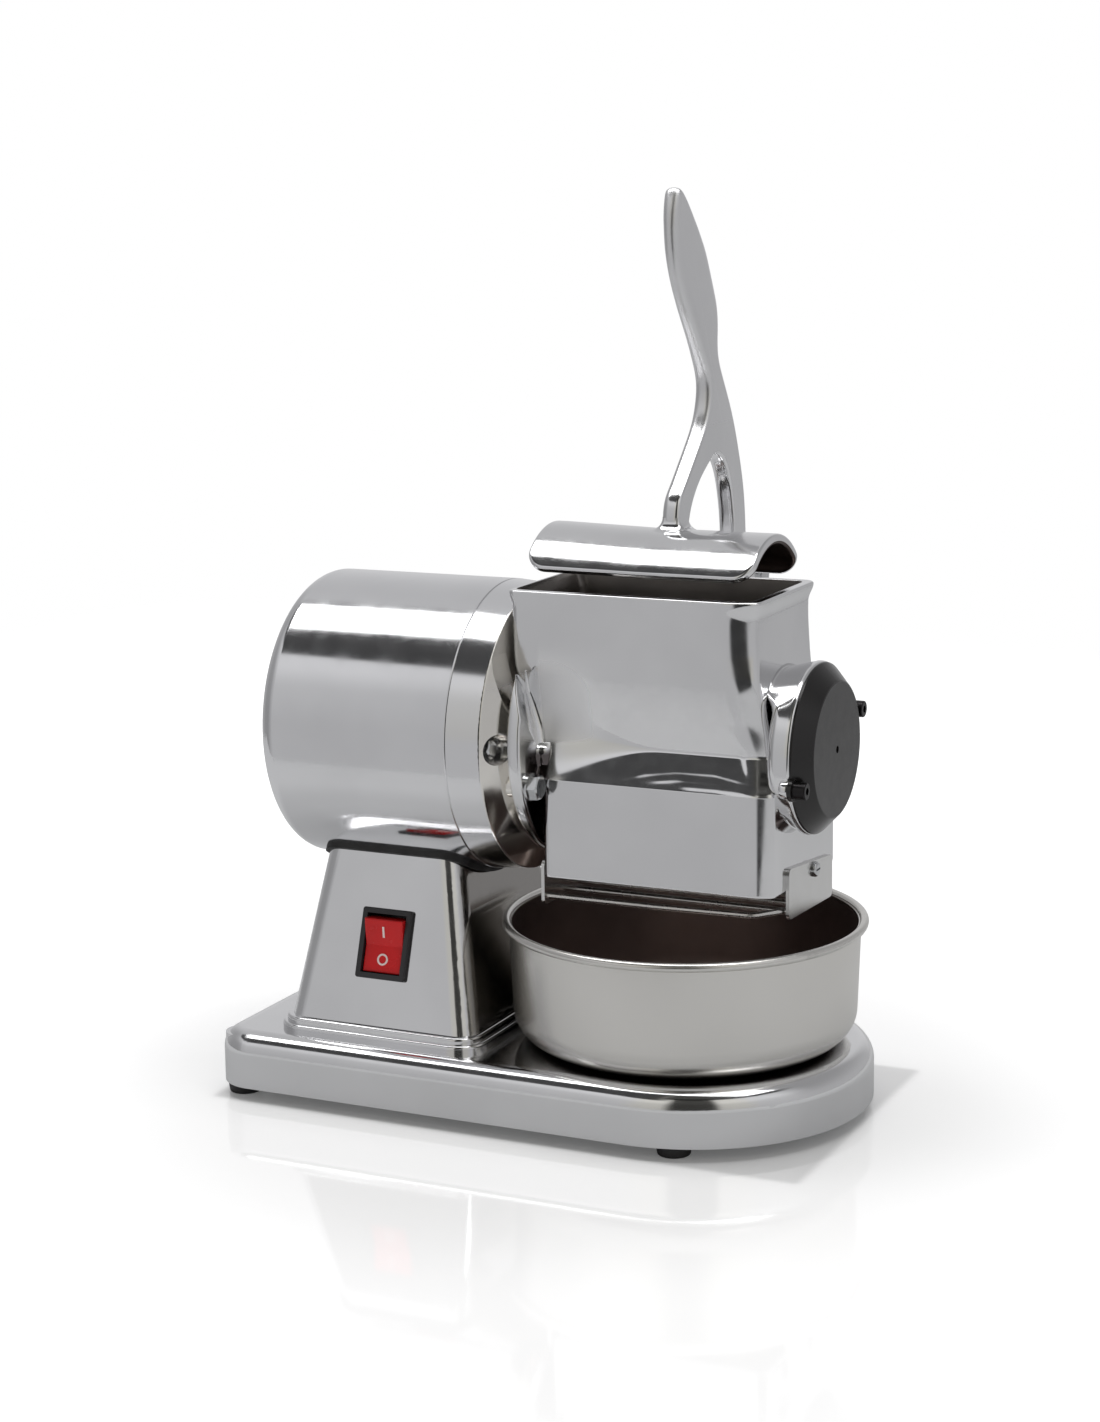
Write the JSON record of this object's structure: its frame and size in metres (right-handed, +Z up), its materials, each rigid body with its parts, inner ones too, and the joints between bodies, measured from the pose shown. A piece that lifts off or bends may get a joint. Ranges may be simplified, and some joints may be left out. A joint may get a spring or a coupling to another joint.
{
  "type": "electric grater",
  "caption": "Counter-top electric cheese grater: polished cast motor and hopper on a pedestal base, hand lever that presses food on a turning drum, steel bowl below.",
  "frame": {"origin": "on the table, in the middle of the footprint", "axes": "+Z up, +X along the motor shaft towards the drum cap, -Y towards the user and the switch"},
  "size_m": [0.2794, 0.1596, 0.3959],
  "materials": {
    "polished_aluminium": "hand-polished casting, near mirror with soft waviness",
    "motor_aluminium": "turned and polished casting",
    "satin_stainless": "satin stainless sheet",
    "zinc_sheet": "zinc-plated sheet",
    "zinc_steel": "zinc-plated fasteners",
    "black_steel": "black-oxide screws",
    "shaft_steel": "ground steel",
    "bearing_steel": "bearing steel",
    "lamination_steel": "stacked laminations",
    "copper_wire": "enamelled copper winding",
    "bronze": "sintered bronze",
    "black_rubber": "moulded rubber",
    "black_plastic": "moulded, fine texture",
    "cap_plastic": "turned dark grey plastic, satin",
    "red_plastic": "translucent red moulding",
    "mark_white": "printed marks",
    "white_plastic": "moulded"
  },
  "bodies": {
    "housing": {"base_casting": "polished_aluminium", "base_cover_plate": "zinc_sheet", "rubber_feet": "black_rubber", "feet_screws": "zinc_steel", "cable_gland": "black_plastic", "gland_nut": "black_plastic", "switch_frame": "black_plastic", "motor_gasket": "black_rubber", "motor_casing": "motor_aluminium", "motor_mount_screws": "zinc_steel", "motor_front_shield": "motor_aluminium", "shield_bolts": "zinc_steel", "front_bearing": "bearing_steel", "rear_bearing": "bearing_steel", "stator_core": "lamination_steel", "stator_windings": "copper_wire", "capacitor": "white_plastic", "terminal_block": "white_plastic", "shaft_seal": "black_rubber", "hopper_casting": "polished_aluminium", "hopper_bolts": "zinc_steel", "drum_cap": "cap_plastic", "cap_bush": "bronze", "cap_screws": "black_steel", "guard_left_plate": "satin_stainless", "guard_right_plate": "satin_stainless", "guard_wires": "satin_stainless", "guard_screws": "zinc_steel", "hinge_pin": "shaft_steel", "hinge_washers": "zinc_steel", "pin_clips": "zinc_steel"},
    "rotor": {"motor_shaft": "shaft_steel", "rotor_core": "lamination_steel", "grating_drum": "satin_stainless", "drum_hubs": "polished_aluminium", "drum_nut": "zinc_steel", "shaft_key": "shaft_steel"},
    "lever": {"presser_lever": "polished_aluminium"},
    "rocker_body": {"rocker": "red_plastic", "rocker_marks": "mark_white"},
    "bowl_body": {"bowl": "satin_stainless"}
  },
  "joints": [
    {"name": "rotor_spin", "type": "hinge", "parent": "housing", "child": "rotor", "pos_m": [0, 0, 0.1634], "axis": [1, 0, 0], "continuous": true},
    {"name": "lever_hinge", "type": "hinge", "parent": "housing", "child": "lever", "pos_m": [0.05145, 0.069, 0.225], "axis": [1, 0, 0], "range_deg": [-65, 28]},
    {"name": "rocker_tilt", "type": "hinge", "parent": "housing", "child": "rocker_body", "pos_m": [-0.06485, -0.04659, 0.06965], "axis": [-1, 0, 0], "range_deg": [0, 22]},
    {"name": "bowl_slide", "type": "slide", "parent": "housing", "child": "bowl_body", "axis": [0, -1, 0], "range_m": [0, 0.2]}
  ]
}
